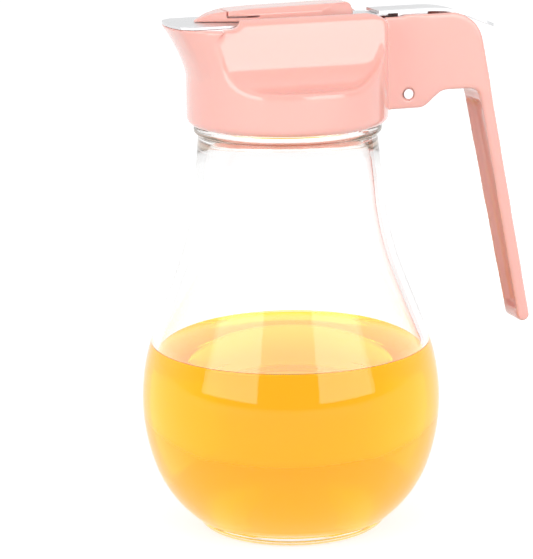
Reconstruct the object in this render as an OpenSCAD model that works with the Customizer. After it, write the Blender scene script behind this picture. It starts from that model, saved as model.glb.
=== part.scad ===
// Honey dispenser: a pear-shaped glass jar under a moulded screw lid with a pouring
// lip and a drop handle. A steel gate closes the lip, and a thumb lever on the handle
// draws it back against a torsion spring.
// Millimetres, +Z up. The jar's axis is Z and it stands on z = 0.
// The lip points along -X and the handle along +X.

/* [Jar] */
// Outer radius of the belly at its widest
belly_r = 45.5; // [42:0.5:49]
// Height of the widest point
belly_z = 39.8; // [36:0.2:44]
// Radius of the outline's arc below the widest point
underbelly_arc = 58; // [52:1:66]
// Radius of the outline's arc at the heel
heel_arc = 36.5; // [32:0.5:42]
// Radius of the outline's arc above the widest point
shoulder_arc = 60; // [52:1:70]
// Radius of the hollow arc between shoulder and neck
waist_arc = 95; // [70:5:110]
// Outer radius of the neck under its bead
neck_r = 27; // [26:0.25:27.5]
// Height of the bead's underside
neck_z = 122; // [118:1:126]
// Thickness of the glass wall
glass_t = 3; // [2:0.25:4]
// Thickness of the glass base
base_t = 6; // [4:0.5:9]
// Outer radius of the foot
foot_r = 30; // [27:0.5:32]
// Height of the foot
foot_h = 3.6; // [2.5:0.1:5]
// Depth of the hollow under the base
punt_h = 2; // [1:0.25:3]
// Height of the screw finish above the bead
finish_h = 9; // [8:0.5:9.5]
// Inner radius of the mouth
mouth_r = 21.5; // [19:0.5:22.5]

/* [Lid] */
// Outer radius of the lid's skirt
skirt_r = 30.3; // [29.5:0.1:31.5]
// Thickness of the skirt
skirt_t = 2.2; // [1.8:0.1:2.6]
// Height of the lid from its lower edge to its deck
lid_h = 30.5; // [30:0.5:34]
// Height of the two rails beside the gate above the deck
rail_h = 2.5; // [2:0.1:3.2]
// Thickness of the deck under the gate
deck_t = 1.8; // [1.4:0.1:2.4]
// Reach of the pouring lip in front of the skirt
lip_reach = 7.4; // [6:0.1:9]
// Half width of the lip, seen from above
lip_half_w = 12; // [10.5:0.25:13]
// Radius of the lip's corners, seen from above
lip_corner_r = 5; // [4:0.25:6.5]
// Half width of the bar between the finger grips at its foot
grip_half_w = 16.8; // [15.5:0.1:18]
// Height of the grips' flat panels
grip_panel_h = 10; // [8:0.5:11]
// Thickness of the lip's wall
lip_t = 2; // [1.6:0.1:2.6]

/* [Handle] */
// Width of the handle at its top
handle_w = 14.4; // [13.4:0.2:16]
// Width of the handle at its tip
handle_tip_w = 10.9; // [9:0.1:12]
// Reach of the handle's back from the jar's axis, at the height of its arch
handle_reach = 63.5; // [61:0.5:66]
// Drop of the handle's tip below the deck
handle_drop = 98; // [85:0.5:105]
// Lean of the grip away from the jar, in degrees
handle_lean = 11; // [9:0.5:13]
// Depth of the grip, from channel rim to back
handle_d = 4.4; // [4:0.1:6]
// Thickness of the handle's walls
handle_t = 1.5; // [1.2:0.1:1.6]

/* [Gate and lever] */
// Thickness of the gate's sheet steel
gate_t = 0.7; // [0.5:0.1:0.9]
// Thickness of the lever's sheet steel
lever_t = 0.9; // [0.8:0.1:1.2]
// Half width of the gate between the rails
gate_half_w = 12.3; // [11:0.1:12.6]
// Lever travel, in degrees
lever_swing = 18; // [12:1:18]
// Distance of the lever's tail end from the jar's axis
lever_tail_x = 66.5; // [65:0.5:70]
// Radius of the pivot pin
pin_r = 1.5; // [1.2:0.05:1.6]
// Distance of the pivot pin from the jar's axis
pin_x = 36.1; // [35.6:0.1:37]
// Depth of the pivot pin below the deck
pin_drop = 23.5; // [23:0.1:23.8]
// Length of the guide over the gate
guide_l = 50; // [46:0.5:51]
// Width of the guide
guide_w = 12; // [10:0.25:13]
// Height of the guide above the gate
guide_h = 3.9; // [3.2:0.1:4.4]
// Diameter of the return spring's wire
spring_wire = 0.7; // [0.5:0.05:0.7]
// Turns of the return spring
spring_turns = 4; // [3:1:4]

/* [Fits] */
// Sliding clearance around the gate
slide_gap = 0.1; // [0.05:0.01:0.15]
// Side clearance of pieces that pass beside each other
side_gap = 0.3; // [0.2:0.05:0.4]
// Running clearance around the pivot pin
pin_gap = 0.05; // [0.02:0.01:0.08]
// Thickness of the gasket
gasket_t = 1.5; // [1.2:0.1:2]

/* [Hidden] */
$fn = 96;

pink = [0.98, 0.74, 0.69];
steel = [0.82, 0.83, 0.84];

arc_step = 4;                                // degrees between points on an outline's arc
shoulder_lean = 21.2;                        // lean of the jar's straight shoulder
neck_lean = 5.7;
heel_turn = 20;                              // where the underbelly meets the heel
foot_round = 5.5;                            // radius of the foot's edge, cut off by the heel

bead_h = 2.4;
bead_r = neck_r + 1.3;
finish_z = neck_z + bead_h;
rim_z = finish_z + finish_h;                 // sealing rim of the glass
lid_z = finish_z + 0.6;                      // lower edge of the skirt
deck_z = lid_z + lid_h;
rail_z = deck_z + rail_h;
socket_r = skirt_r - skirt_t;
finish_r = socket_r - 1.5;                   // the thread fills this gap
ceiling_z = rim_z + gasket_t;

gate_z = deck_z + slide_gap;                 // underside of the gate
gate_top = gate_z + gate_t;
lever_z = gate_top + slide_gap;              // underside of the lever's plate
lever_top = lever_z + lever_t;
pin_z = deck_z - pin_drop;

finger_x = pin_x - 7.35;                     // the lever's finger in the gate's slot
finger_t = lever_t;
finger_half_w = 1.8;
gate_travel = finger_travel(lever_swing);
seam_x = finger_x - 1.3;                     // gap between gate and lever
tongue_half_w = 3.6;
tongue_end = finger_x + 2.2;

slot_half_w = handle_w / 2 - handle_t;       // the lever's slot between the handle's walls
lever_half_w = slot_half_w - side_gap;
boss_r = pin_r + 1.2;                        // eye of the lever's cheeks
pocket_x = skirt_r + handle_t;               // front of the handle's hollow

web_half_w = 2;                              // guide's web through the gate
web_front = -12;
web_back = 10;
peg_r = 1.4;
pegs_x = [web_front + 3, web_back - 3];
guide_front = -29;

// Travel along X of the finger at the gate's height, when the lever turns by a
function finger_travel(a) =
    let (dx = finger_x - pin_x, arm = gate_z + gate_t / 2 - pin_z,
         dz = (arm + dx * sin(a)) / cos(a))
    dx * cos(a) + dz * sin(a) - dx;

// Points on an arc about c from angle a to angle b
function arc(c, r, a, b) =
    let (n = max(2, ceil(abs(b - a) / arc_step)))
    [for (i = [0 : n]) c + r * [cos(a + (b - a) * i / n), sin(a + (b - a) * i / n)]];

// Extrudes an outline drawn in X and Z along Y, or one drawn in Y and Z along X
module along_y(w) {
    rotate([90, 0, 0]) linear_extrude(w, center = true) children();
}

module along_x(l) {
    rotate([90, 0, 90]) linear_extrude(l, center = true) children();
}

// ---- glass jar ----

// Side of the jar, drawn in from the outer outline by d, from the heel up to the neck
function jar_side(d) =
    let (shoulder_c = [belly_r - shoulder_arc, belly_z],
         under_c = [belly_r - underbelly_arc, belly_z],
         heel_c = under_c + (underbelly_arc - heel_arc) * [cos(heel_turn), -sin(heel_turn)],
         s = shoulder_lean,
         shoulder_end = shoulder_c + shoulder_arc * [cos(s), sin(s)],
         neck_line = neck_r + neck_z * tan(neck_lean),
         z = (shoulder_end[0] + shoulder_end[1] * tan(s) - neck_line) / (tan(s) - tan(neck_lean)),
         corner = [neck_line - z * tan(neck_lean), z],
         reach = waist_arc * tan((s - neck_lean) / 2),
         waist_c = corner + reach * [sin(s), -cos(s)] + waist_arc * [cos(s), sin(s)])
    concat(arc(heel_c, heel_arc - d, -84, -heel_turn - arc_step),
           arc(under_c, underbelly_arc - d, -heel_turn, 0),
           arc(shoulder_c, shoulder_arc - d, arc_step, s),
           arc(waist_c, waist_arc + d, 180 + s, 180 + neck_lean),
           [[neck_r - d, neck_z]]);

// The same side closed across the axis, as a whole cross-section above height low
module jar_section(d, low) {
    side = jar_side(d);
    last = len(side) - 1;
    intersection() {
        polygon(concat(side, [for (i = [last : -1 : 0]) [-side[i][0], side[i][1]]]));
        translate([-belly_r, low]) square([2 * belly_r, neck_z - low]);
    }
}

module jar_outer() {
    jar_section(0, foot_h);
    // foot, rounded down to its flat rest
    polygon(concat([[0, 0]], arc([foot_r - foot_round, foot_round], foot_round,
                                 -90, -asin(1 - foot_h / foot_round)), [[0, foot_h + 0.1]]));
    // bead under the lid, and the screw finish above it
    translate([bead_r - bead_h / 2, neck_z + bead_h / 2]) circle(r = bead_h / 2, $fn = 24);
    translate([0, neck_z - 0.1]) square([bead_r - bead_h / 2, bead_h + 0.1]);
    polygon(concat([[0, finish_z - 0.1], [finish_r, finish_z - 0.1]],
                   arc([finish_r - 1, rim_z - 1], 1, 0, 90), [[0, rim_z]]));
}

module jar_inner() {
    floor_round = 8;
    throat_r = neck_r - glass_t;
    offset(r = floor_round) offset(delta = -floor_round) jar_section(glass_t, base_t);
    polygon([[0, neck_z - 9], [throat_r + 0.6, neck_z - 9], [throat_r, neck_z - 2],
             [mouth_r, finish_z], [mouth_r, rim_z - 0.6], [mouth_r + 0.6, rim_z + 0.1],
             [0, rim_z + 0.1]]);
}

module glass_jar() {
    color([0.93, 0.96, 0.95, 0.4]) difference() {
        rotate_extrude() intersection() {
            difference() {
                jar_outer();
                jar_inner();
            }
            square([belly_r + bead_r, rim_z + 1]);
        }
        // hollow under the base leaves a flat ring to stand on
        translate([0, 0, -1]) cylinder(h = punt_h / 2 + 1, r = foot_r - foot_round - 5);
        cylinder(h = punt_h, r1 = foot_r - foot_round - 5, r2 = foot_r - foot_round - 9);
    }
}

// ---- lid ----

lip_front_r = 30;                            // radius of the lip's front, seen from above
front_c = [skirt_r + lip_reach - lip_front_r, 0];
lip_bow = asin((lip_half_w - lip_corner_r) / (lip_front_r - lip_corner_r));
corner_c = front_c + (lip_front_r - lip_corner_r) * [cos(lip_bow), sin(lip_bow)];
// direction across the straight side between the lip's corner and the skirt
lip_turn = atan2(corner_c[1], corner_c[0]) + acos((skirt_r - lip_corner_r) / norm(corner_c));

// Half of the lip's outline from its middle to the skirt, drawn in by d, with the lip
// along +X: the front's arc, the corner's arc and the straight side
function lip_plan(d) =
    let (skirt = (skirt_r - d) * [cos(lip_turn), sin(lip_turn)],
         side = corner_c + (lip_corner_r - d) * [cos(lip_turn), sin(lip_turn)])
    concat([for (i = [0 : 2]) let (a = lip_bow * i / 3)
            front_c + (lip_front_r - d) * [cos(a), sin(a)]],
           [for (i = [0 : 6]) let (a = lip_bow + (lip_turn - lip_bow) * i / 6)
            corner_c + (lip_corner_r - d) * [cos(a), sin(a)]],
           [for (i = [1 : 4]) side + (skirt - side) * i / 4]);

lip_z = deck_z - 17;                         // where the lip starts to flare
lip_levels = 12;                             // up to the deck, and one more above it
lip_sink = 0.15;                             // how deep the flare starts inside the skirt

// The flare, from inside the skirt up past the lip's edge, drawn in by d
module lip(d) {
    half = lip_plan(d);
    last = len(half) - 1;
    edge = concat([for (i = [last : -1 : 1]) [half[i][0], -half[i][1]]], half);
    ring = len(edge) + 1;
    function flare(t) = pow(t, 1.5);
    points = [for (i = [0 : lip_levels + 1]) let (t = i / lip_levels, z = lip_z + t * (deck_z - lip_z))
              each concat([[0, 0, z]],
                  [for (p = edge)
                   let (start = skirt_r - d - lip_sink,
                        k = (start + flare(t) * (norm(p) - start - 0.05)) / norm(p))
                   [-k * p[0], k * p[1], z]])];
    top = (lip_levels + 1) * ring;
    faces = concat(
        [for (j = [1 : ring - 2]) [0, j + 1, j]],
        [for (j = [1 : ring - 2]) [top, top + j, top + j + 1]],
        [for (i = [0 : lip_levels]) for (j = [0 : ring - 1])
         let (a = i * ring + j, b = i * ring + (j + 1) % ring)
         each [[a, b, a + ring], [b, b + ring, a + ring]]]);
    polyhedron(points, faces);
}

scoop_z = ceiling_z + 2.8;                   // floor of the grips' scoops

// Half of the bar's cross-section that the finger grips leave, in Y and Z
module grip_cut_section() {
    round_r = 2.6;
    panel_top = rail_z - round_r;
    panel_foot = panel_top - grip_panel_h;
    top_half_w = grip_half_w - 1.2;
    // the scoop's arc runs from the panel's foot and ends level inside the skirt
    out = skirt_r - 4 - grip_half_w;
    drop = panel_foot - scoop_z;
    scoop_r = (out * out + drop * drop) / (2 * drop);
    start_a = 180 + asin((scoop_r - drop) / scoop_r);
    polygon(concat([[top_half_w - round_r, rail_z + 5], [top_half_w - round_r, rail_z]],
                   arc([top_half_w - round_r, panel_top], round_r, 90 - arc_step, 0),
                   arc([grip_half_w + out, scoop_z + scoop_r], scoop_r, start_a, 270),
                   [[skirt_r + 20, scoop_z], [skirt_r + 20, rail_z + 5]]));
}

// Side view of the window that each finger grip is cut through, in X and Z
module grip_window() {
    corner_r = 13;
    front = -29.5;
    heel_r = 17;
    back = sqrt(pow(skirt_r, 2) - pow(grip_half_w, 2)) + 0.4;
    polygon(concat([[front, ceiling_z]],
                   arc([front + corner_r, rail_z - corner_r], corner_r, 180, 112),
                   [[front + 0.62 * corner_r, rail_z + 6], [skirt_r + 10, rail_z + 6],
                    [skirt_r + 10, scoop_z + heel_r]],
                   arc([back - heel_r, scoop_z + heel_r - 0.3], heel_r, -1, -80),
                   [[back - heel_r, ceiling_z]]));
}

// Side view of the cap: deck, rails and the rounded back corner, in X and Z
module cap_side() {
    back_r = 10.5;
    rail_front = -19;
    polygon(concat([[-skirt_r - lip_reach - 5, lid_z - 1], [-skirt_r - lip_reach - 5, deck_z]],
                   arc([rail_front - rail_h, deck_z + rail_h], rail_h, 270, 340),
                   [[rail_front, rail_z]],
                   arc([skirt_r + 0.01 - back_r, rail_z - back_r], back_r, 90, 0),
                   [[skirt_r + 0.01, lid_z - 1]]));
}

module cap() {
    edge_r = 2.2;
    intersection() {
        union() {
            rotate_extrude() polygon(concat([[0, lid_z], [skirt_r - edge_r + 1, lid_z]],
                arc([skirt_r - edge_r, lid_z + edge_r], edge_r, -60, 0),
                [[skirt_r, rail_z], [0, rail_z]]));
            lip(0);
        }
        along_y(3 * skirt_r) cap_side();
    }
}

// Outline of the handle in X and Z: arm, rounded back corner and leaning grip
function handle_back(z) = handle_reach + (pin_z - z) * tan(handle_lean);

module handle_side() {
    corner_r = 11;
    arch_r = 5;
    tip_r = handle_d / 2;
    lean = [cos(handle_lean), -sin(handle_lean)];
    tip_z = deck_z - handle_drop + tip_r;
    tip = [handle_back(tip_z) - tip_r, tip_z];
    arm_z = pin_z - boss_r - 0.3 - handle_t;  // underside of the arm at the pin
    grip_top = [handle_back(pin_z - 2) - handle_d, pin_z - 2];
    back_c = [handle_back(deck_z - corner_r) - corner_r - 0.2, deck_z + 0.4 - corner_r];
    polygon(concat([[skirt_r - 4, deck_z + 0.4]],
                   arc(back_c, corner_r, 90, 12),
                   [[handle_back(pin_z), pin_z]],
                   arc(tip, tip_r, -8, -172),
                   [grip_top + [0.6, -3]],
                   arc(grip_top + [-3, -1], 3.3, 0, 90),
                   arc([pin_x + 12.5, arm_z - 3.3 + 4.6], 3.6, 90, 130),
                   arc([pin_x + 3.6, arm_z + 4.6], 4.6, -50, -90),
                   [[skirt_r - 4, arm_z]]));
}

module handle_taper() {
    tip_z = deck_z - handle_drop - 1;
    polygon([[-handle_tip_w / 2, tip_z], [handle_tip_w / 2, tip_z], [handle_w / 2, pin_z],
             [handle_w / 2, rail_z], [-handle_w / 2, rail_z], [-handle_w / 2, pin_z]]);
}

module handle() {
    intersection() {
        along_y(handle_w) handle_side();
        along_x(6 * skirt_r) handle_taper();
        // starts inside the skirt's wall
        difference() {
            translate([0, -skirt_r, 0]) cube([4 * skirt_r, 2 * skirt_r, rail_z]);
            cylinder(h = rail_z, r = skirt_r - 1);
        }
    }
}

// Hollow of the arm that holds the lever's cheeks, open at the top and at the back corner
module handle_pocket() {
    arm_z = pin_z - boss_r - 0.3;
    back = handle_back(pin_z + 8) - handle_t - 1;
    along_y(2 * slot_half_w) polygon([
        [pocket_x, arm_z], [pin_x + 4, arm_z], [pin_x + 10, arm_z + 4.6], [back - 4, arm_z + 4.6],
        [back, arm_z + 8], [back - 1.2, deck_z - 10.5], [back + 20, deck_z - 10.5],
        [back + 20, rail_z + 5], [seam_x - 1, rail_z + 5], [seam_x - 1, deck_z - 3],
        [pocket_x, deck_z - 4]]);
}

// Channel moulded into the grip's inner side
module grip_channel() {
    depth = handle_d - handle_t;
    top_z = pin_z - 4;
    foot_z = deck_z - handle_drop + handle_d;
    x0 = handle_back(top_z) - handle_d;
    x1 = handle_back(foot_z) - handle_d;
    intersection() {
        along_y(handle_w) polygon([
            [x0 - 5, top_z], [x0 + depth - 1.5, top_z], [x0 + depth + 0.2, top_z - 3],
            [x1 + depth, foot_z], [x1 - 5, foot_z - 1]]);
        along_x(6 * skirt_r) offset(delta = -handle_t) handle_taper();
    }
}

// Way for the honey from the mouth up to the lip, closed on top by deck and gate
module pour_chamber() {
    half_w = grip_half_w - 4.3;
    roof_z = deck_z - deck_t;
    intersection() {
        translate([0, 0, ceiling_z - 0.1]) cylinder(h = roof_z - ceiling_z + 0.1, r = mouth_r);
        translate([-2 * skirt_r, -half_w, 0]) cube([4 * skirt_r, 2 * half_w, deck_z]);
    }
    // behind the lip, and out through a mouth that the gate covers and its travel bares
    intersection() {
        lip(lip_t);
        translate([0, 0, lip_z]) along_y(2 * gate_half_w - 3) polygon([
            [-2 * skirt_r, 0], [-mouth_r / 2, 0], [-mouth_r / 2, roof_z - lip_z],
            [lip_t + gate_travel - skirt_r - lip_reach, roof_z - lip_z],
            [lip_t + gate_travel - skirt_r - lip_reach, deck_z - lip_z + 0.5],
            [-2 * skirt_r, deck_z - lip_z + 0.5]]);
    }
}

module lid_shell() {
    color(pink) difference() {
        union() {
            difference() {
                cap();
                for (side = [0, 1]) mirror([0, side, 0]) intersection() {
                    along_x(3 * skirt_r) grip_cut_section();
                    translate([0, skirt_r, 0]) along_y(2 * skirt_r) grip_window();
                }
            }
            handle();
        }
        // socket for the jar's finish
        translate([0, 0, lid_z - 1]) cylinder(h = ceiling_z - lid_z + 1, r = socket_r);
        translate([0, 0, lid_z - 0.01])
            cylinder(h = 0.8, r1 = socket_r + 0.6, r2 = socket_r);
        pour_chamber();
        // the gate's run between the rails
        translate([-2 * skirt_r, -gate_half_w - side_gap, deck_z])
            cube([2 * skirt_r + seam_x + gate_travel + side_gap,
                  2 * (gate_half_w + side_gap), rail_h + 5]);
        handle_pocket();
        grip_channel();
        // bore and countersinks of the pivot pin
        translate([pin_x, 0, pin_z]) rotate([90, 0, 0]) {
            cylinder(h = handle_w + 2, r = pin_r + 0.02, center = true);
            for (side = [0, 1]) mirror([0, 0, side])
                translate([0, 0, handle_w / 2 - 0.4]) cylinder(h = 1, r = pin_r + 0.3);
        }
        // holes for the guide's pegs
        for (x = pegs_x) translate([x, 0, deck_z - deck_t - 1])
            cylinder(h = deck_t + 2, r = peg_r + pin_gap, $fn = 32);
    }
}

module lid_gasket() {
    color("whitesmoke") translate([0, 0, rim_z]) difference() {
        cylinder(h = gasket_t, r = finish_r - 0.2);
        translate([0, 0, -1]) cylinder(h = gasket_t + 2, r = mouth_r + 1);
    }
}

// ---- gate, guide and lever ----

// Half of the gate's outline from the nose to the tongue, on the side given
function gate_side(side) =
    let (d = 0.3, wide_x = (skirt_r - d - gate_half_w * sin(lip_turn)) / cos(lip_turn),
         shoulder_x = seam_x - 10)
    concat([for (p = lip_plan(d)) if (p[1] > 0.1 && p[1] < gate_half_w - 0.2) [-p[0], side * p[1]]],
           [[-wide_x, side * gate_half_w], [shoulder_x, side * gate_half_w],
            [shoulder_x + 5, side * (lever_half_w * 1.5 - 1)],
            [seam_x - 0.5, side * lever_half_w], [seam_x - 0.5, side * tongue_half_w],
            [tongue_end, side * tongue_half_w]]);

module gate_plan() {
    left = gate_side(1);
    right = gate_side(-1);
    last = len(right) - 1;
    difference() {
        polygon(concat(left, [for (i = [last : -1 : 0]) right[i]]));
        // slot that the guide's web stands in
        translate([web_front - gate_travel - side_gap, -web_half_w - side_gap])
            square([web_back - web_front + gate_travel + 2 * side_gap, 2 * (web_half_w + side_gap)]);
        // slot for the lever's finger
        translate([finger_x - 0.8, -finger_half_w - side_gap])
            square([1.6, 2 * (finger_half_w + side_gap)]);
    }
}

module sliding_gate() {
    color(steel) translate([0, 0, gate_z]) linear_extrude(gate_t) gate_plan();
}

// Guide: a boat-shaped cover over the gate, its web through the gate and its pegs
// through the deck
module gate_guide() {
    foot_z = gate_top + slide_gap;
    top_z = foot_z + guide_h;
    guide_back = guide_front + guide_l;
    nose_l = 9;
    gap = 0.5;
    color(pink) {
        difference() {
            intersection() {
                along_y(guide_w) polygon(concat(
                    [[guide_front, foot_z], [guide_front + 0.6, foot_z + 0.7],
                     [guide_front + nose_l / 2, top_z - 1.6], [guide_front + nose_l, top_z - 0.8],
                     [guide_front + 2 * nose_l, top_z - 0.3], [guide_back - 8, top_z]],
                    arc([guide_back - 3.5, top_z - 2.5], 2.5, 90, 25),
                    [[guide_back, foot_z]]));
                // boat-shaped plan
                translate([0, 0, foot_z - 1]) linear_extrude(guide_h + 2) hull() {
                    translate([guide_front + 0.8, 0]) circle(r = 0.8, $fn = 16);
                    translate([guide_front + nose_l + 2, -guide_w / 2 + 0.8])
                        square([guide_l - nose_l - 16, guide_w - 1.6]);
                    translate([guide_front + nose_l + 6, -guide_w / 2])
                        square([guide_l - nose_l - 18, guide_w]);
                    translate([guide_back - 3, 0]) circle(r = 3, $fn = 32);
                }
                // shoulders slope down to the sides
                along_x(3 * skirt_r) polygon([
                    [-guide_w / 2, foot_z - 1], [guide_w / 2, foot_z - 1],
                    [guide_w / 2, foot_z + guide_h * 0.55], [guide_w / 2 - 1.6, top_z],
                    [1.6 - guide_w / 2, top_z], [-guide_w / 2, foot_z + guide_h * 0.55]]);
            }
            // groove behind the nose, and the gap under the sprung tongue
            translate([guide_front + nose_l, -guide_w, foot_z + 1.1]) cube([gap, 2 * guide_w, guide_h]);
            translate([guide_front + nose_l, -guide_w, foot_z + 1.1]) cube([10, 2 * guide_w, gap]);
        }
        translate([web_front, -web_half_w, deck_z])
            cube([web_back - web_front, 2 * web_half_w, foot_z - deck_z + 0.2]);
        for (x = pegs_x) {
            translate([x, 0, deck_z - deck_t - 1.2])
                cylinder(h = deck_t + 1.3, r = peg_r, $fn = 32);
            // upset head that holds the peg under the deck
            translate([x, 0, deck_z - deck_t - 1.2]) cylinder(h = 1.15, r = peg_r + 0.8, $fn = 32);
        }
    }
}

// Upper line of the lever's plate in X and Z, drawn down by d
function lever_line(d) =
    let (bend_r = 36, bend = 22.6, bend_c = [pin_x + 8, lever_top - bend_r],
         last = bend_c + (bend_r - d) * [sin(bend), cos(bend)],
         rest = (lever_tail_x - last[0]) * [1, -tan(bend)])
    concat([[seam_x, lever_top - d]], arc(bend_c, bend_r - d, 90, 90 - bend), [last + rest]);

module lever_plate() {
    under = lever_line(lever_t);
    last = len(under) - 1;
    intersection() {
        along_y(2 * lever_half_w)
            polygon(concat(lever_line(0), [for (i = [last : -1 : 0]) under[i]]));
        // rounded tail
        translate([0, 0, pin_z]) linear_extrude(2 * pin_drop) hull() {
            translate([seam_x, -lever_half_w]) square([5, 2 * lever_half_w]);
            translate([lever_tail_x - lever_half_w, 0]) circle(r = lever_half_w, $fn = 64);
        }
    }
}

module lever_cheek() {
    along_y(lever_t) difference() {
        union() {
            polygon([[pocket_x + 1.6, lever_z + 0.1], [pocket_x + 3.4, pin_z + 8],
                     [pin_x - boss_r, pin_z], [pin_x + boss_r, pin_z], [pin_x + 4.4, pin_z + 9],
                     [pin_x + 7, lever_z + 0.1]]);
            translate([pin_x, pin_z]) circle(r = boss_r);
        }
        translate([pin_x, pin_z]) circle(r = pin_r + pin_gap);
    }
}

module thumb_lever() {
    color(steel) {
        lever_plate();
        for (side = [-1, 1]) translate([0, side * (lever_half_w - lever_t / 2), 0]) lever_cheek();
        // finger that draws the gate
        translate([finger_x - finger_t / 2, -finger_half_w, gate_z - 2.4])
            cube([finger_t, 2 * finger_half_w, lever_z - gate_z + 2.5]);
    }
}

module pivot_pin() {
    color("silver") translate([pin_x, 0, pin_z]) rotate([90, 0, 0])
        cylinder(h = handle_w + 0.2, r = pin_r, center = true);
}

// ---- return spring ----

// A tube of radius r along points that never run along Y
module wire(path, r, sides = 8) {
    n = len(path);
    function dir(i) = let (v = path[min(i + 1, n - 1)] - path[max(i - 1, 0)]) v / norm(v);
    points = [for (i = [0 : n - 1])
              let (u = cross(dir(i), [0, 1, 0]), a = u / norm(u), b = cross(dir(i), a))
              each [for (k = [0 : sides - 1])
                    path[i] + r * (a * cos(360 * k / sides) + b * sin(360 * k / sides))]];
    end = (n - 1) * sides;
    faces = concat(
        [for (k = [1 : sides - 2]) [0, k + 1, k]],
        [for (k = [1 : sides - 2]) [end, end + k, end + k + 1]],
        [for (i = [0 : n - 2]) for (k = [0 : sides - 1])
         let (p = i * sides + k, q = i * sides + (k + 1) % sides)
         each [[p, q, p + sides], [q, q + sides, p + sides]]]);
    polyhedron(points, faces);
}

// Coil about the pin, one leg up under the lever's plate and one against the pocket's front
module return_spring() {
    coil_r = pin_r + spring_wire / 2 + 0.25;
    pitch = spring_wire + 0.42;
    steps = 20;
    start_a = 180;
    total = 360 * spring_turns + 180;
    half = pitch * total / 720;
    coil = [for (i = [0 : steps * total / 360]) let (a = start_a + i * 360 / steps)
            [pin_x + coil_r * cos(a), -half + pitch * i / steps, pin_z + coil_r * sin(a)]];
    first = coil[0];
    last = coil[len(coil) - 1];
    up = [pin_x + 3.2, last[1], lever_z - spring_wire / 2 - 0.35];
    color("silver") wire(concat(
        [[pocket_x + spring_wire / 2 + 0.15, first[1], pin_z + 7], [first[0], first[1], pin_z + 2]],
        coil, [up]), spring_wire / 2);
}

glass_jar();
lid_shell();
lid_gasket();
sliding_gate();
gate_guide();
thumb_lever();
pivot_pin();
return_spring();
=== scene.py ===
import math

import bpy
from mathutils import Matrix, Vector


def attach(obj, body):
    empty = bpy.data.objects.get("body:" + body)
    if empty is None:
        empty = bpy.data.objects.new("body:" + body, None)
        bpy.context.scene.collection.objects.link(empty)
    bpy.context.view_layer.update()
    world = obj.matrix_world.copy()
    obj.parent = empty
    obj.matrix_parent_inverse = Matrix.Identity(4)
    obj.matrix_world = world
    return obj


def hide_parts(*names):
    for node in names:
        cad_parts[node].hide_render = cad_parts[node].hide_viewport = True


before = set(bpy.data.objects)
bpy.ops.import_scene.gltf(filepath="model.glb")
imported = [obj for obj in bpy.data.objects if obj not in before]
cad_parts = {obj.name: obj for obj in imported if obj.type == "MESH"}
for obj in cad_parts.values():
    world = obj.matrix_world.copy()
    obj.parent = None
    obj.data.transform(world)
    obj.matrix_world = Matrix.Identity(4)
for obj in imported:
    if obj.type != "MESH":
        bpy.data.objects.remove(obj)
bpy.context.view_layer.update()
mm = 0.001


def deselect():
    if bpy.context.object and bpy.context.object.mode != "OBJECT":
        bpy.ops.object.mode_set(mode="OBJECT")
    bpy.ops.object.select_all(action="DESELECT")


def pick(piece):
    deselect()
    piece.select_set(True)
    bpy.context.view_layer.objects.active = piece


def applyAll(piece):
    pick(piece)
    for modifier in list(piece.modifiers):
        bpy.ops.object.modifier_apply(modifier=modifier.name)


def smoothShade(piece, angle):
    pick(piece)
    bpy.ops.object.shade_smooth_by_angle(angle=math.radians(angle))


def arcPoints(center, radius, start, end, step=3):
    count = max(2, math.ceil(abs(end - start) / step))
    angles = [math.radians(start + (end - start) * i / count) for i in range(count + 1)]
    return [(center[0] + radius * math.cos(a), center[1] + radius * math.sin(a)) for a in angles]


def revolve(name, outline, steps):
    # a single point is drawn along the outline, then the line is spun about the axis
    deselect()
    bpy.ops.mesh.primitive_plane_add(size=mm)
    piece = bpy.context.object
    piece.name = name
    bpy.ops.object.mode_set(mode="EDIT")
    bpy.ops.mesh.merge(type="CENTER")
    here = Vector((0, 0, 0))
    for i, (radius, height) in enumerate(outline):
        there = Vector((radius * mm, 0, height * mm))
        if i == 0:
            bpy.ops.transform.translate(value=there - here)
        else:
            bpy.ops.mesh.extrude_region_move(TRANSFORM_OT_translate={"value": there - here})
        here = there
    bpy.ops.mesh.select_all(action="SELECT")
    bpy.ops.mesh.spin(steps=steps, angle=2 * math.pi, center=(0, 0, 0), axis=(0, 0, 1))
    bpy.ops.mesh.select_all(action="SELECT")
    bpy.ops.mesh.remove_doubles(threshold=0.002 * mm)
    bpy.ops.mesh.normals_make_consistent(inside=False)
    bpy.ops.object.mode_set(mode="OBJECT")
    return piece


def newMaterial(name, **sockets):
    material = bpy.data.materials.new(name)
    material.use_nodes = True
    shader = material.node_tree.nodes["Principled BSDF"]
    for socket, value in sockets.items():
        shader.inputs[socket.replace("_", " ")].default_value = value
    return material, material.node_tree.nodes, material.node_tree.links, shader


def addNode(nodes, kind, **settings):
    node = nodes.new(kind)
    for key, value in settings.items():
        if hasattr(node, key):
            setattr(node, key, value)
        else:
            node.inputs[key.replace("_", " ")].default_value = value
    return node


def noiseOn(nodes, links, place, scale, detail):
    noise = addNode(nodes, "ShaderNodeTexNoise", Scale=scale, Detail=detail)
    links.new(place, noise.inputs["Vector"])
    return noise.outputs["Fac"]


def bumpFrom(nodes, links, shader, height, strength, distance):
    bump = addNode(nodes, "ShaderNodeBump", Strength=strength, Distance=distance)
    links.new(height, bump.inputs["Height"])
    links.new(bump.outputs["Normal"], shader.inputs["Normal"])


plasticLook = {
    "shade": (0.965, 0.475, 0.410, 1), "paler": (0.980, 0.505, 0.440, 1), "patch": 22,
    "roughness": 0.17, "ior": 1.56, "inner": 0.12, "innerDepth": 0.002,
    "coat": 0.6, "coatRoughness": 0.08,
    "ripple": 260, "rippleStrength": 0.06, "rippleHeight": 0.0002,
}


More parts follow.
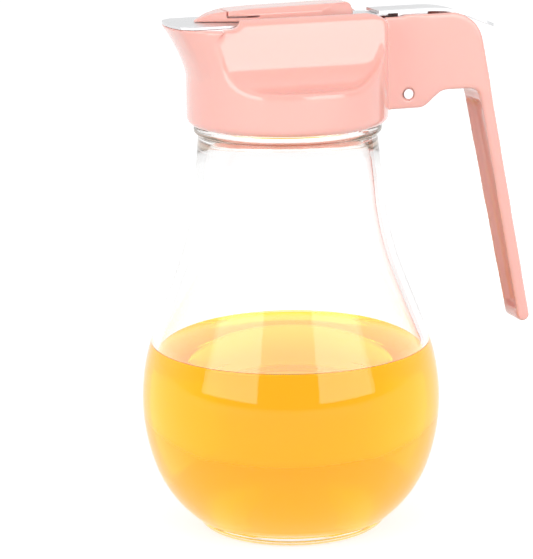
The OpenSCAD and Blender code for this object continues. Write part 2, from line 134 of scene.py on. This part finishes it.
def mouldedPlastic(look):
    material, nodes, links, shader = newMaterial(
        "mouldedPinkPlastic", Roughness=look["roughness"], IOR=look["ior"],
        Subsurface_Weight=look["inner"], Subsurface_Scale=look["innerDepth"],
        Coat_Weight=look["coat"], Coat_Roughness=look["coatRoughness"])
    place = addNode(nodes, "ShaderNodeTexCoord").outputs["Object"]
    blend = addNode(nodes, "ShaderNodeValToRGB")
    blend.color_ramp.elements[0].color = look["shade"]
    blend.color_ramp.elements[1].color = look["paler"]
    links.new(noiseOn(nodes, links, place, look["patch"], 2.0), blend.inputs["Fac"])
    links.new(blend.outputs["Color"], shader.inputs["Base Color"])
    ripple = noiseOn(nodes, links, place, look["ripple"], 3.0)
    bumpFrom(nodes, links, shader, ripple, look["rippleStrength"], look["rippleHeight"])
    return material


glassLook = {
    "surface": (1, 1, 1, 1), "ior": 1.5, "mirror": (0.5, 0.5, 0.5, 1),
    "body": (0.90, 0.92, 0.86, 1), "density": 6.0,
    # past ray depth deep the glass glows with a painted warm glow in this colour and strength
    "paintedGlowColour": (1.0, 0.80, 0.66, 1), "deep": 5.0, "paintedGlowStrength": 0.2,
    "wave": 28.0, "waveStrength": 0.04, "waveHeight": 0.001,
}
honeyLook = {
    "surface": (1, 0.99, 0.96, 1), "ior": 1.48, "mirror": (0, 0, 0, 1),
    "body": (0.998, 0.899, 0.0, 1), "density": 100.0,
    # past ray depth deep the honey glows with a painted golden glow in this colour and strength
    "paintedGlowColour": (0.95, 0.52, 0.05, 1), "deep": 6.5, "paintedGlowStrength": 0.3,
    "wave": 18.0, "waveStrength": 0.02, "waveHeight": 0.001,
}


def paintDeepGlow(nodes, links, shader, depth, strength):
    # painted glow: light that bounces many times inside is cut short, and past that depth the
    # surface glows in a painted colour instead of ending in black
    path = addNode(nodes, "ShaderNodeLightPath")
    deep = addNode(nodes, "ShaderNodeMath", operation="GREATER_THAN")
    deep.inputs[1].default_value = depth
    links.new(path.outputs["Ray Depth"], deep.inputs[0])
    glow = addNode(nodes, "ShaderNodeMath", operation="MULTIPLY")
    glow.inputs[1].default_value = strength
    links.new(deep.outputs[0], glow.inputs[0])
    links.new(glow.outputs[0], shader.inputs["Emission Strength"])


def clearMaterial(name, look):
    material, nodes, links, shader = newMaterial(
        name, Base_Color=look["surface"], Roughness=0.0, IOR=look["ior"],
        Transmission_Weight=1.0, Specular_Tint=look["mirror"],
        Emission_Color=look["paintedGlowColour"], Emission_Strength=0.0)
    # the emission colour is a painted glow, switched on only for rays deeper than deep
    paintDeepGlow(nodes, links, shader, look["deep"], look["paintedGlowStrength"])
    place = addNode(nodes, "ShaderNodeTexCoord").outputs["Object"]
    wave = noiseOn(nodes, links, place, look["wave"], 1.0)
    bumpFrom(nodes, links, shader, wave, look["waveStrength"], look["waveHeight"])
    absorb = addNode(nodes, "ShaderNodeVolumeAbsorption", Color=look["body"],
                     Density=look["density"])
    links.new(absorb.outputs["Volume"], nodes["Material Output"].inputs["Volume"])
    return material


steelLook = {
    "colour": (0.72, 0.725, 0.735, 1), "anisotropy": 0.4, "smoother": 0.06, "rougher": 0.08,
    "noiseLow": 0.3, "noiseHigh": 0.7, "lineStrength": 0.08, "lineHeight": 0.0001,
    "sheet": (0.28, (12, 900, 900)),    # roughness, and how fine the grain is each way
    "pin": (0.14, (300, 300, 300)),
    "wire": (0.3, (500, 500, 500)),
}


def brushedSteel(name, look, roughness, grain):
    material, nodes, links, shader = newMaterial(
        name, Base_Color=look["colour"], Metallic=1.0, Roughness=roughness,
        Anisotropic=look["anisotropy"])
    place = addNode(nodes, "ShaderNodeTexCoord").outputs["Object"]
    stretch = addNode(nodes, "ShaderNodeMapping", Scale=grain)
    links.new(place, stretch.inputs["Vector"])
    lines = noiseOn(nodes, links, stretch.outputs["Vector"], 1.0, 3.0)
    spread = addNode(nodes, "ShaderNodeMapRange", From_Min=look["noiseLow"],
                     From_Max=look["noiseHigh"], To_Min=roughness - look["smoother"],
                     To_Max=roughness + look["rougher"])
    links.new(lines, spread.inputs["Value"])
    links.new(spread.outputs["Result"], shader.inputs["Roughness"])
    bumpFrom(nodes, links, shader, lines, look["lineStrength"], look["lineHeight"])
    return material


rubberLook = {
    "colour": (0.82, 0.82, 0.79, 1), "roughness": 0.55,
    "grit": 700.0, "gritStrength": 0.15, "gritHeight": 0.0001,
}


def softRubber(look):
    material, nodes, links, shader = newMaterial(
        "sealRubber", Base_Color=look["colour"], Roughness=look["roughness"])
    place = addNode(nodes, "ShaderNodeTexCoord").outputs["Object"]
    grit = noiseOn(nodes, links, place, look["grit"], 2.0)
    bumpFrom(nodes, links, shader, grit, look["gritStrength"], look["gritHeight"])
    return material


plastic = mouldedPlastic(plasticLook)
glass = clearMaterial("clearSodaGlass", glassLook)
amber = clearMaterial("clearHoney", honeyLook)
sheetSteel = brushedSteel("brushedSheetSteel", steelLook, *steelLook["sheet"])
pinSteel = brushedSteel("polishedPinSteel", steelLook, *steelLook["pin"])
wireSteel = brushedSteel("springWireSteel", steelLook, *steelLook["wire"])
rubber = softRubber(rubberLook)
print("materials made")

jar = {  # millimetres and degrees, as on the drawing
    "bellyRadius": 45.5, "bellyHeight": 39.8, "underArc": 58, "heelArc": 36.5, "heelTurn": 20,
    "shoulderArc": 60, "waistArc": 95, "shoulderLean": 21.2, "neckLean": 5.7,
    "neckRadius": 27, "neckHeight": 122, "wall": 3, "floor": 6, "floorRound": 8,
    "footRadius": 30, "footHeight": 3.6, "footRound": 5.5, "restWidth": 5,
    "punt": 2.0, "puntInset": 9, "puntRound": 1.2, "puntEdge": (6, 0.35),
    "beadRadius": 28.3, "beadHeight": 2.4, "beadCrease": 0.4, "beadSeam": 0.1,
    "finishRadius": 26.6, "finishHeight": 9, "mouthRadius": 21.5, "rimRound": 1,
    "mouthFlare": (1.3, 2.5), "throatDrop": 5, "throatEase": (0.6, 10), "turns": 180,
    "shadeAngle": 50,
}


def jarSide(inset, low):
    # side of the jar from the angle low up to the neck, drawn in by inset
    lean, neck = math.radians(jar["shoulderLean"]), math.radians(jar["neckLean"])
    turn = math.radians(jar["heelTurn"])
    shoulder = (jar["bellyRadius"] - jar["shoulderArc"], jar["bellyHeight"])
    under = (jar["bellyRadius"] - jar["underArc"], jar["bellyHeight"])
    reach = jar["underArc"] - jar["heelArc"]
    heel = (under[0] + reach * math.cos(turn), under[1] - reach * math.sin(turn))
    end = (shoulder[0] + jar["shoulderArc"] * math.cos(lean),
           shoulder[1] + jar["shoulderArc"] * math.sin(lean))
    neckLine = jar["neckRadius"] + jar["neckHeight"] * math.tan(neck)
    z = (end[0] + end[1] * math.tan(lean) - neckLine) / (math.tan(lean) - math.tan(neck))
    corner = (neckLine - z * math.tan(neck), z)
    step = jar["waistArc"] * math.tan((lean - neck) / 2)
    waist = (corner[0] + step * math.sin(lean) + jar["waistArc"] * math.cos(lean),
             corner[1] - step * math.cos(lean) + jar["waistArc"] * math.sin(lean))
    points = arcPoints(heel, jar["heelArc"] - inset, low, -jar["heelTurn"] - 1)
    points += arcPoints(under, jar["underArc"] - inset, -jar["heelTurn"], 0)
    points += arcPoints(shoulder, jar["shoulderArc"] - inset, 2, jar["shoulderLean"])
    points += arcPoints(waist, jar["waistArc"] + inset, 180 + jar["shoulderLean"],
                        180 + jar["neckLean"], 1)
    return points, heel


def bowl(inset, floor):
    # hollow of the jar, from the middle of its floor up to the neck
    heel = jarSide(inset, -60)[1]
    rounding = jar["floorRound"] + jar["wall"] - inset
    rise = floor + rounding - heel[1]
    away = math.sqrt((jar["heelArc"] - inset - rounding) ** 2 - rise ** 2)
    touch = math.degrees(math.atan2(rise, away))
    corner = (heel[0] + away, heel[1] + rise)
    floorPoints = [(corner[0] * k / 6, floor) for k in range(6)]
    return (floorPoints + arcPoints(corner, rounding, -90, touch - 1)
            + jarSide(inset, touch)[0])


def makeJar():
    heel = jarSide(0, -60)[1]
    low = math.degrees(math.asin((jar["footHeight"] - heel[1]) / jar["heelArc"]))
    footRound, puntRound, rimRound = jar["footRound"], jar["puntRound"], jar["rimRound"]
    ring = jar["footRadius"] - footRound
    hollow = ring - jar["puntInset"]
    bead = jar["beadHeight"] / 2
    top = jar["neckHeight"] + jar["beadHeight"] + jar["finishHeight"]
    finish, mouth = jar["finishRadius"], jar["mouthRadius"]
    throat = jar["neckRadius"] - jar["wall"]
    beadTop = jar["neckHeight"] + jar["beadHeight"]
    outline = [(k * hollow / 5, jar["punt"]) for k in range(6)]
    outline += arcPoints((hollow, jar["punt"] - puntRound), puntRound, 90, 45, 15)
    outline += [(ring - jar["puntEdge"][0], jar["puntEdge"][1]), (ring - jar["restWidth"], 0)]
    footEnd = -math.degrees(math.asin(1 - jar["footHeight"] / footRound))
    outline += arcPoints((ring, footRound), footRound, -90, footEnd, 6)
    outline += jarSide(0, low)[0]
    outline += [(jar["neckRadius"], jar["neckHeight"] - jar["beadCrease"])]
    outline += arcPoints((jar["beadRadius"] - bead, jar["neckHeight"] + bead), bead, -90, 90, 12)
    outline += [(finish, beadTop + jar["beadSeam"])]
    outline += arcPoints((finish - rimRound, top - rimRound), rimRound, 0, 90, 15)
    outline += arcPoints((mouth + rimRound, top - rimRound), rimRound, 90, 180, 15)
    outline += [(mouth, beadTop),
                (mouth + jar["mouthFlare"][0], beadTop - jar["mouthFlare"][1]),
                (throat, beadTop - jar["throatDrop"]),
                (throat + jar["throatEase"][0], beadTop - jar["throatEase"][1])]
    outline += reversed(bowl(jar["wall"], jar["floor"]))
    piece = revolve("glassJar", outline, jar["turns"])
    smoothShade(piece, jar["shadeAngle"])
    piece.data.materials.append(glass)
    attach(piece, "jar")
    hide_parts("glass_jar")


honey = {  # millimetres
    "level": 56, "overlap": 0.3, "creep": 1.1, "creepWidth": 1.0, "wallMargin": 0.2,
    "creepSteps": (0.3, 0.6, 1.0, 1.5, 2.2, 3.2, 4.5),   # distances from the glass
}


def makeHoney():
    side = bowl(jar["wall"] - honey["overlap"], jar["floor"] - honey["overlap"])
    level, creep = honey["level"], honey["creep"]
    top = level + creep
    below = [p for p in side if p[1] < top - honey["wallMargin"]]
    above = [p for p in side if p[1] >= top - honey["wallMargin"]][0]
    share = (top - below[-1][1]) / (above[1] - below[-1][1])
    wallX = below[-1][0] + share * (above[0] - below[-1][0])
    outline = below + [(wallX, top)]
    for k in honey["creepSteps"]:
        outline.append((wallX - k, level + creep * math.exp(-k / honey["creepWidth"])))
    outline += [(wallX * k / 5, level) for k in (4, 3, 2, 1, 0)]
    piece = revolve("honeyFill", outline, jar["turns"])
    smoothShade(piece, jar["shadeAngle"])
    piece.data.materials.append(amber)
    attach(piece, "jar")


makeJar()
makeHoney()
print("jar and honey made")

thread = {  # millimetres
    "pitch": 4.2, "turns": 1.5, "jarRadius": 26.55, "jarDepth": 0.75, "lidRadius": 28.15,
    "lidDepth": 0.6, "start": 126.6, "points": 120, "endSize": 0.25, "runOut": 12,
    "shadeAngle": 60,
}


def makeThread(name, radius, depth, lift, material, body):
    count = thread["points"]
    total = thread["turns"] * 2 * math.pi
    curve = bpy.data.curves.new(name, "CURVE")
    curve.dimensions = "3D"
    curve.bevel_depth = depth * mm
    curve.bevel_resolution = 2
    curve.use_fill_caps = True
    line = curve.splines.new("POLY")
    line.points.add(count)
    for i, point in enumerate(line.points):
        turn = total * i / count
        height = thread["start"] + lift + thread["pitch"] * turn / (2 * math.pi)
        point.co = (radius * mm * math.cos(turn), radius * mm * math.sin(turn), height * mm, 1)
        # runs out at both ends
        point.radius = min(1, thread["endSize"] + thread["runOut"] * min(i, count - i) / count)
    piece = bpy.data.objects.new(name, curve)
    bpy.context.collection.objects.link(piece)
    pick(piece)
    bpy.ops.object.convert(target="MESH")
    piece = bpy.context.object
    smoothShade(piece, thread["shadeAngle"])
    piece.data.materials.append(material)
    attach(piece, body)


makeThread("jarThread", thread["jarRadius"], thread["jarDepth"], 0, glass, "jar")
makeThread("lidThread", thread["lidRadius"], thread["lidDepth"], thread["pitch"] / 2,
           plastic, "lid")
print("threads made")

lid = {  # millimetres; a pair of places is where more rounding starts and where it is full
    "voxel": 0.45, "rounds": 7, "extraRounds": 42, "most": 190000,
    "gripSide": (13.2, 15), "gripFront": (-32, -29), "gripFoot": (128, 131),
    "gripBack": (31.5, 30),
    "shankStart": (46, 50), "shankTop": (133, 127),
    "armShare": 0.5, "armStart": (39, 42), "armSide": (5.2, 6.6), "armFoot": (126, 130),
    "pin": (36.1, 132.0), "pinClear": (3, 6),
    "sinkRadius": 1.95, "sinkDepth": 0.55, "halfWidth": 7.2,
}
guide = {"voxel": 0.25, "rounds": 6, "extraRounds": 0, "most": 60000}
softening = 0.5    # factor of each round of smoothing


def ramp(value, span):
    start, end = span
    return min(1, max(0, (value - start) / (end - start)))


def lidEdges(point):
    # how much more a point of the lid is rounded: round the grips and down the handle,
    # but not at the lip, the rim, the deck or the pin
    x, y, z = (value / mm for value in point)
    grips = (ramp(abs(y), lid["gripSide"]) * ramp(x, lid["gripFront"])
             * ramp(z, lid["gripFoot"]) * ramp(x, lid["gripBack"]))
    shank = ramp(x, lid["shankStart"]) * ramp(z, lid["shankTop"])
    arm = (lid["armShare"] * ramp(x, lid["armStart"]) * ramp(abs(y), lid["armSide"])
           * ramp(z, lid["armFoot"]))
    nearPin = math.hypot(x - lid["pin"][0], z - lid["pin"][1])
    return max(grips, shank, arm) * ramp(nearPin, lid["pinClear"])


def sinkPinEnds(piece):
    x, z = lid["pin"]
    for side in (-1, 1):
        deselect()
        bpy.ops.mesh.primitive_cylinder_add(
            vertices=48, radius=lid["sinkRadius"] * mm, depth=2 * lid["sinkDepth"] * mm,
            location=(x * mm, side * lid["halfWidth"] * mm, z * mm),
            rotation=(math.pi / 2, 0, 0))
        cutter = bpy.context.object
        cut = piece.modifiers.new("Sink", "BOOLEAN")
        cut.operation = "DIFFERENCE"
        cut.object = cutter
        applyAll(piece)
        bpy.data.objects.remove(cutter)


def addSmooth(piece, rounds):
    soften = piece.modifiers.new("Smooth", "SMOOTH")
    soften.factor = softening
    soften.iterations = rounds
    return soften


def softenedCopy(node, name, body, look, soft, weight=None):
    deselect()
    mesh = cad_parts[node].data.copy()
    piece = bpy.data.objects.new(name, mesh)
    bpy.context.collection.objects.link(piece)
    pick(piece)
    bpy.ops.object.mode_set(mode="EDIT")
    bpy.ops.mesh.select_all(action="SELECT")
    bpy.ops.mesh.remove_doubles(threshold=0.001 * mm)
    bpy.ops.object.mode_set(mode="OBJECT")
    remesh = piece.modifiers.new("Remesh", "REMESH")
    remesh.mode = "VOXEL"
    remesh.voxel_size = soft["voxel"] * mm
    addSmooth(piece, soft["rounds"])
    applyAll(piece)
    if soft["extraRounds"]:
        group = piece.vertex_groups.new(name="edges")
        for vertex in piece.data.vertices:
            group.add([vertex.index], weight(vertex.co), "REPLACE")
        addSmooth(piece, soft["extraRounds"]).vertex_group = "edges"
        applyAll(piece)
        piece.vertex_groups.clear()
    triangles = 2 * len(piece.data.polygons)
    print(name, "remeshed to", triangles, "triangles")
    if triangles > soft["most"]:
        reduce = piece.modifiers.new("Decimate", "DECIMATE")
        reduce.ratio = soft["most"] / triangles
        applyAll(piece)
    piece.data.materials.clear()
    piece.data.materials.append(look)
    pick(piece)
    bpy.ops.object.shade_smooth()
    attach(piece, body)
    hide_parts(node)
    return piece


mouldedLid = softenedCopy("lid_shell", "mouldedLid", "lid", plastic, lid,
                          lidEdges)
sinkPinEnds(mouldedLid)
softenedCopy("gate_guide", "mouldedGuide", "lid", plastic, guide)
print("lid and guide made")

finishes = {
    "sliding_gate": sheetSteel, "thumb_lever": sheetSteel, "pivot_pin": pinSteel,
    "return_spring": wireSteel, "lid_gasket": rubber,
}
for nodeName, finish in finishes.items():
    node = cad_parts[nodeName]
    node.data.materials.clear()
    node.data.materials.append(finish)
print("metal and gasket finished")

studio = {
    "floorSize": 8, "floorDrop": 0.0002, "floorColour": (0.6, 0.6, 0.6, 1), "floorGlow": 0.7,
    "fill": 0.6, "frontLevel": 0.2, "backLevel": 1.0, "roomSpan": (-0.5, 0.4),
    "boxGlow": 3.0, "boxDistance": 1.2, "boxSize": (1.0, 0.85), "boxLow": 0.09,
    "leftBox": -49, "rightBox": 44,
}
view = {
    "azimuth": 18.5, "pitch": 12.76, "roll": 0.8, "distance": 0.8, "height": 0.2576,
    "sideStep": -0.007, "focal": 2700, "longSide": 559, "sensor": 36, "nearest": 0.01,
}


def whiteFor(nodes, links):
    # 1 for the rays that see the backdrop, 0 for the rest
    path = addNode(nodes, "ShaderNodeLightPath")
    total = path.outputs["Is Camera Ray"]
    for socket in ("Is Glossy Ray", "Is Transmission Ray"):
        add = addNode(nodes, "ShaderNodeMath", operation="ADD", use_clamp=True)
        links.new(total, add.inputs[0])
        links.new(path.outputs[socket], add.inputs[1])
        total = add.outputs[0]
    return total


def makeWorld():
    world = bpy.data.worlds.new("paleStudio")
    bpy.context.scene.world = world
    world.use_nodes = True
    nodes, links = world.node_tree.nodes, world.node_tree.links
    background = nodes["Background"]
    background.inputs["Color"].default_value = (1, 1, 1, 1)
    level = addNode(nodes, "ShaderNodeMapRange", To_Min=studio["fill"], To_Max=1.0)
    links.new(whiteFor(nodes, links), level.inputs["Value"])
    # reflections see the white background behind the part and a dimmer room before it
    place = addNode(nodes, "ShaderNodeTexCoord")
    behind = addNode(nodes, "ShaderNodeVectorMath", operation="DOT_PRODUCT")
    links.new(place.outputs["Generated"], behind.inputs[0])
    turn = math.radians(view["azimuth"])
    behind.inputs[1].default_value = (math.sin(turn), math.cos(turn), 0)
    roomStart, roomEnd = studio["roomSpan"]
    room = addNode(nodes, "ShaderNodeMapRange", interpolation_type="SMOOTHSTEP",
                   From_Min=roomStart, From_Max=roomEnd,
                   To_Min=studio["frontLevel"], To_Max=studio["backLevel"])
    links.new(behind.outputs["Value"], room.inputs["Value"])
    # a ray refracted by glass counts as glossy too, and sees the plain white
    path = addNode(nodes, "ShaderNodeLightPath")
    mirrored = addNode(nodes, "ShaderNodeMath", operation="SUBTRACT", use_clamp=True)
    links.new(path.outputs["Is Glossy Ray"], mirrored.inputs[0])
    links.new(path.outputs["Is Transmission Ray"], mirrored.inputs[1])
    share = addNode(nodes, "ShaderNodeMapRange", To_Min=1.0)
    links.new(mirrored.outputs[0], share.inputs["Value"])
    links.new(room.outputs["Result"], share.inputs["To Max"])
    strength = addNode(nodes, "ShaderNodeMath", operation="MULTIPLY")
    links.new(level.outputs["Result"], strength.inputs[0])
    links.new(share.outputs["Result"], strength.inputs[1])
    links.new(strength.outputs[0], background.inputs["Strength"])


def makeFloor():
    deselect()
    bpy.ops.mesh.primitive_plane_add(size=studio["floorSize"],
                                     location=(0, 0, -studio["floorDrop"]))
    floor = bpy.context.object
    floor.name = "studioFloor"
    material = bpy.data.materials.new("whiteSweep")
    material.use_nodes = True
    nodes, links = material.node_tree.nodes, material.node_tree.links
    nodes.remove(nodes["Principled BSDF"])
    matt = addNode(nodes, "ShaderNodeBsdfDiffuse", Color=studio["floorColour"])
    glow = addNode(nodes, "ShaderNodeEmission", Color=(1, 1, 1, 1))
    level = addNode(nodes, "ShaderNodeMapRange", To_Min=0.0, To_Max=studio["floorGlow"])
    links.new(whiteFor(nodes, links), level.inputs["Value"])
    links.new(level.outputs["Result"], glow.inputs["Strength"])
    both = addNode(nodes, "ShaderNodeAddShader")
    links.new(matt.outputs[0], both.inputs[0])
    links.new(glow.outputs[0], both.inputs[1])
    links.new(both.outputs[0], nodes["Material Output"].inputs["Surface"])
    floor.data.materials.append(material)


def viewAxes():
    turn, dip, roll = (math.radians(view[key]) for key in ("azimuth", "pitch", "roll"))
    level = Vector((math.cos(turn), -math.sin(turn), 0))
    ahead = Vector((math.sin(turn) * math.cos(dip), math.cos(turn) * math.cos(dip),
                    -math.sin(dip)))
    above = level.cross(ahead)
    right = level * math.cos(roll) - above * math.sin(roll)
    up = level * math.sin(roll) + above * math.cos(roll)
    return right, up, ahead, level


def makeCamera():
    right, up, ahead, level = viewAxes()
    turn = math.radians(view["azimuth"])
    place = Vector((-math.sin(turn), -math.cos(turn), 0)) * view["distance"]
    place += level * view["sideStep"] + Vector((0, 0, view["height"]))
    deselect()
    bpy.ops.object.camera_add(location=place)
    camera = bpy.context.object
    camera.name = "photoCamera"
    camera.data.sensor_width = view["sensor"]
    camera.data.lens = view["focal"] * view["sensor"] / view["longSide"]
    camera.data.clip_start = view["nearest"]
    matrix = camera.matrix_world.copy()
    for i in range(3):
        for j, axis in enumerate((right, up, -ahead)):
            matrix[i][j] = axis[i]
        matrix[i][3] = place[i]
    camera.matrix_world = matrix
    bpy.context.scene.camera = camera


def makeSoftbox(name, azimuth):
    # azimuth is measured from the camera's side, to the right
    turn = math.radians(-90 - view["azimuth"] + azimuth)
    width, height = studio["boxSize"]
    distance = studio["boxDistance"]
    middle = studio["boxLow"] + height / 2
    place = Vector((math.cos(turn) * distance, math.sin(turn) * distance, middle))
    aim = Vector((0, 0, middle)) - place
    deselect()
    bpy.ops.object.light_add(type="AREA", location=place,
                             rotation=aim.to_track_quat("-Z", "Y").to_euler())
    lamp = bpy.context.object
    lamp.name = name
    lamp.data.shape = "RECTANGLE"
    lamp.data.size = width
    lamp.data.size_y = height
    lamp.data.energy = studio["boxGlow"] * math.pi * width * height
    lamp.visible_camera = False


makeWorld()
makeFloor()
makeCamera()
makeSoftbox("leftSoftbox", studio["leftBox"])
makeSoftbox("rightSoftbox", studio["rightBox"])
bpy.context.scene.view_settings.view_transform = "Standard"
print("studio made")
